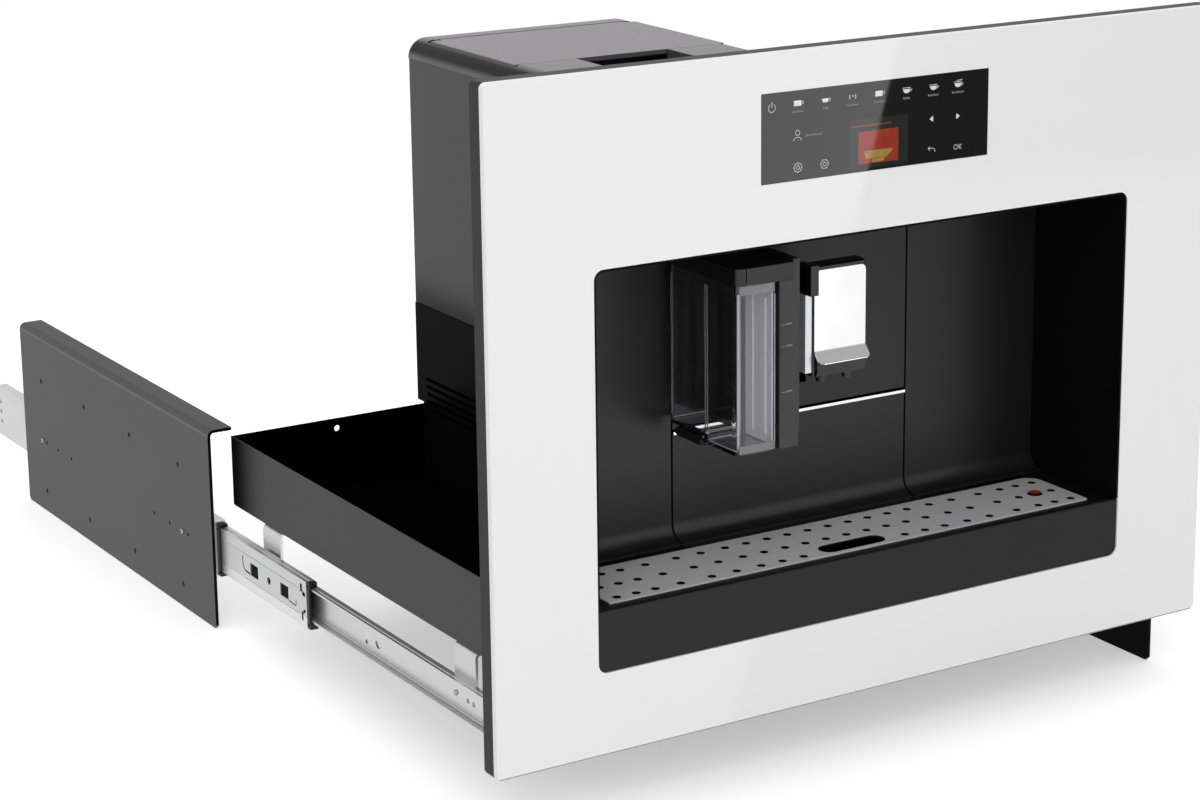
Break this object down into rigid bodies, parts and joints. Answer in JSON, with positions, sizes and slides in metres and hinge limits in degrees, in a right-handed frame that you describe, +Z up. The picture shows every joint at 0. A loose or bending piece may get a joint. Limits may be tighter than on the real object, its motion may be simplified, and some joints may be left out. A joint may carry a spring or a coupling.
{
  "type": "built in coffee machine",
  "caption": "Built-in coffee machine with a pale glass fascia, cup niche, milk container and drip tray, on a steel tray with telescopic runners and cabinet plates.",
  "frame": {"origin": "middle of the fascia's lower edge, in the plane of the fascia frame's back rim, which closes on the cabinet front", "axes": "+X to the user's right, +Y back into the cabinet along the runners, +Z up"},
  "size_m": [0.595, 0.957, 0.501],
  "materials": {
    "fascia_glass": "polished, pale, painted on its back",
    "display_glass": "polished dark glass",
    "frame_paint": "satin dark grey powder coat",
    "display_plastic": "fine matte",
    "circuit_board": "matte, with solder mask",
    "liner_black": "satin black",
    "niche_panel": "satin dark grey",
    "core_gloss": "glossy dark grey",
    "core_matte": "fine matte black",
    "core_top": "semi-gloss grey",
    "chassis_sheet": "satin black powder coat",
    "zinc_steel": "bright zinc plate",
    "grille_steel": "fine brushed",
    "chrome_trim": "bright",
    "spout_plastic": "glossy black",
    "jug_clear": "clear",
    "milk_dark": "glossy dark grey",
    "tray_grey": "semi-gloss dark grey",
    "bin_plastic": "matte black",
    "float_red": "semi-gloss red",
    "tank_clear": "clear smoke grey",
    "hopper_clear": "clear smoke brown",
    "heater_aluminium": "cast",
    "pump_steel": "zinc plate",
    "inner_plastic": "matte",
    "switch_plastic": "matte black"
  },
  "bodies": {
    "machine": {"fascia_frame": "frame_paint", "fascia_glass": "fascia_glass", "display_window": "display_glass", "display_housing": "display_plastic", "display_board": "circuit_board", "niche_liner": "liner_black", "back_panel_left": "niche_panel", "back_panel_right": "niche_panel", "centre_panel": "niche_panel", "milk_dock": "milk_dark", "chassis_tray": "chassis_sheet", "fascia_brackets": "chassis_sheet", "core_base": "inner_plastic", "inner_frame": "inner_plastic", "side_panel_left": "core_gloss", "side_panel_right": "core_gloss", "side_vent_left": "core_matte", "side_vent_right": "core_matte", "top_cover": "core_top", "rear_cover": "core_matte", "bean_hopper": "hopper_clear", "grinder": "inner_plastic", "brew_unit": "inner_plastic", "thermoblock": "heater_aluminium", "pump": "pump_steel", "control_board": "circuit_board", "mains_inlet": "switch_plastic", "switch_housing": "switch_plastic", "spout_rail": "inner_plastic", "runner_hooks": "zinc_steel", "runner_inner_left": "zinc_steel", "runner_inner_right": "zinc_steel"},
    "left_plate": {"cabinet_plate_left": "frame_paint", "runner_outer_left": "zinc_steel"},
    "right_plate": {"cabinet_plate_right": "frame_paint", "runner_outer_right": "zinc_steel"},
    "left_runner_middle": {"runner_middle_left": "zinc_steel", "ball_cage_left": "switch_plastic"},
    "right_runner_middle": {"runner_middle_right": "zinc_steel", "ball_cage_right": "switch_plastic"},
    "spout": {"spout_body": "spout_plastic", "spout_cover": "chrome_trim", "spout_side_trim": "chrome_trim"},
    "milk_container": {"milk_jug": "jug_clear", "milk_side_panel": "milk_dark", "jug_latch": "spout_plastic"},
    "milk_container_lid": {"milk_lid": "milk_dark"},
    "drip_tray": {"drip_basin": "bin_plastic", "tray_front": "tray_grey", "grounds_panel": "niche_panel", "grounds_strip": "chrome_trim"},
    "grille": {"drip_grille": "grille_steel"},
    "float": {"water_float": "float_red"},
    "bin": {"grounds_bin": "bin_plastic"},
    "tank": {"water_tank": "tank_clear", "lid_pin": "zinc_steel"},
    "tank_cover": {"tank_lid": "core_top"},
    "hopper_cover": {"hopper_lid": "core_top"},
    "switch": {"power_switch": "switch_plastic"}
  },
  "joints": [
    {"name": "left_plate_slide", "type": "slide", "parent": "machine", "child": "left_plate", "axis": [0, 1, 0], "range_m": [-0.455, 0]},
    {"name": "left_runner_middle_slide", "type": "slide", "parent": "machine", "child": "left_runner_middle", "axis": [0, 1, 0], "range_m": [-0.303, 0]},
    {"name": "right_plate_slide", "type": "slide", "parent": "machine", "child": "right_plate", "axis": [0, 1, 0], "range_m": [0, 0.455]},
    {"name": "right_runner_middle_slide", "type": "slide", "parent": "machine", "child": "right_runner_middle", "axis": [0, 1, 0], "range_m": [0, 0.303]},
    {"name": "spout_height", "type": "slide", "parent": "machine", "child": "spout", "axis": [0, 0, 1], "range_m": [-0.03, 0]},
    {"name": "milk_container_slide", "type": "slide", "parent": "machine", "child": "milk_container", "axis": [0, 1, 0], "range_m": [-0.12, 0]},
    {"name": "milk_lid_lift", "type": "slide", "parent": "milk_container", "child": "milk_container_lid", "axis": [0, 0, 1], "range_m": [0, 0.012]},
    {"name": "drip_tray_slide", "type": "slide", "parent": "machine", "child": "drip_tray", "axis": [0, 1, 0], "range_m": [-0.18, 0]},
    {"name": "grille_lift", "type": "slide", "parent": "drip_tray", "child": "grille", "axis": [0, 0, 1], "range_m": [0, 0.025]},
    {"name": "float_rise", "type": "slide", "parent": "drip_tray", "child": "float", "axis": [0, 0, 1], "range_m": [0, 0.006]},
    {"name": "grounds_bin_lift", "type": "slide", "parent": "drip_tray", "child": "bin", "axis": [0, 0, 1], "range_m": [0, 0.008]},
    {"name": "tank_lift", "type": "slide", "parent": "machine", "child": "tank", "axis": [0, 0, 1], "range_m": [0, 0.12]},
    {"name": "tank_lid_hinge", "type": "hinge", "parent": "tank", "child": "tank_cover", "pos_m": [0, 0.4449, 0.4], "axis": [-1, 0, 0], "range_deg": [0, 80]},
    {"name": "hopper_lid_lift", "type": "slide", "parent": "machine", "child": "hopper_cover", "axis": [0, 0, 1], "range_m": [0, 0.025]},
    {"name": "power_switch_rock", "type": "hinge", "parent": "machine", "child": "switch", "pos_m": [-0.022, 0.46, 0.134], "axis": [-1, 0, 0], "range_deg": [0, 14]}
  ],
  "couplings": [
    {"joint": "left_runner_middle_slide", "follows": "left_plate_slide", "ratio": 0.6659},
    {"joint": "right_runner_middle_slide", "follows": "right_plate_slide", "ratio": 0.6659}
  ]
}
